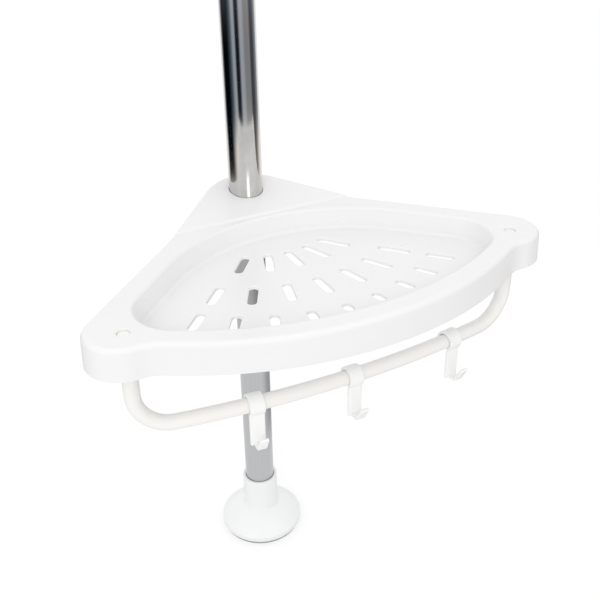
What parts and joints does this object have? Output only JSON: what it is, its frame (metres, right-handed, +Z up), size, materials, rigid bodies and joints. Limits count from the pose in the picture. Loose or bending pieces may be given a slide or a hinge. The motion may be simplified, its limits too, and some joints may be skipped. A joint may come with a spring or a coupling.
{
  "type": "tension pole corner shelf",
  "caption": "Corner shelf tray on a telescoping tension pole, with a towel rail and clip-on hooks below its bowed front.",
  "frame": {"origin": "on the pole's axis, at floor level, on the underside of the foot's pad", "axes": "+Z up along the pole, -Y to the bowed front of the tray, X from one wall side to the other"},
  "size_m": [0.3216, 0.2335, 0.9551],
  "materials": {
    "tray_white": "smooth injection-moulded white plastic with a soft shine",
    "hook_white": "smooth white plastic",
    "fitting_white": "smooth white plastic",
    "sleeve_grey": "plain grey plastic, seen only where pieces come apart",
    "rail_cream": "white to cream coating on a steel tube, satin",
    "chrome": "bright plated steel tube",
    "spring_steel": "drawn spring wire",
    "soft_grey": "soft matt rubber"
  },
  "bodies": {
    "pole": {"foot_pad": "soft_grey", "foot_cup": "fitting_white", "lower_tube": "chrome", "lock_base": "fitting_white", "grip_ring": "sleeve_grey"},
    "lock_nut": {"lock_nut": "fitting_white"},
    "upper_pole": {"upper_tube": "chrome", "guide_bush": "sleeve_grey", "mouth_ring": "fitting_white", "spring_seat": "sleeve_grey", "tension_spring": "spring_steel"},
    "head": {"plunger": "sleeve_grey", "head_rod": "chrome", "ceiling_cup": "fitting_white", "ceiling_pad": "soft_grey"},
    "clamp": {"sleeve_left": "sleeve_grey", "sleeve_right": "sleeve_grey"},
    "shelf": {"tray": "tray_white", "towel_rail": "rail_cream", "rail_plug_left": "rail_cream", "rail_plug_right": "rail_cream"},
    "hook_left": {"hook_left": "hook_white"},
    "hook_middle": {"hook_middle": "hook_white"},
    "hook_right": {"hook_right": "hook_white"}
  },
  "joints": [
    {"name": "lock_turn", "type": "hinge", "parent": "pole", "child": "lock_nut", "pos_m": [0, 0, 0.6], "axis": [0, 0, 1], "range_deg": [-90, 0]},
    {"name": "pole_extend", "type": "slide", "parent": "pole", "child": "upper_pole", "axis": [0, 0, 1], "range_m": [-0.15, 0.14]},
    {"name": "head_spring", "type": "slide", "parent": "upper_pole", "child": "head", "axis": [0, 0, 1], "range_m": [-0.04, 0], "stiffness_N_per_m": 2500, "springref_m": 0.012, "deforming": ["tension_spring"]},
    {"name": "shelf_height", "type": "slide", "parent": "pole", "child": "clamp", "axis": [0, 0, 1], "range_m": [-0.2, 0.22]},
    {"name": "shelf_swivel", "type": "hinge", "parent": "clamp", "child": "shelf", "pos_m": [0, 0, 0.31], "axis": [0, 0, 1], "continuous": true},
    {"name": "hook_left_slide", "type": "hinge", "parent": "shelf", "child": "hook_left", "pos_m": [0, 0.51959, 0.257], "axis": [0, 0, 1], "range_deg": [-3.7, 2.9]},
    {"name": "hook_middle_slide", "type": "hinge", "parent": "shelf", "child": "hook_middle", "pos_m": [0, 0.51959, 0.257], "axis": [0, 0, 1], "range_deg": [-2, 2.9]},
    {"name": "hook_right_slide", "type": "hinge", "parent": "shelf", "child": "hook_right", "pos_m": [0, 0.51959, 0.257], "axis": [0, 0, 1], "range_deg": [-2.9, 1.75]}
  ]
}
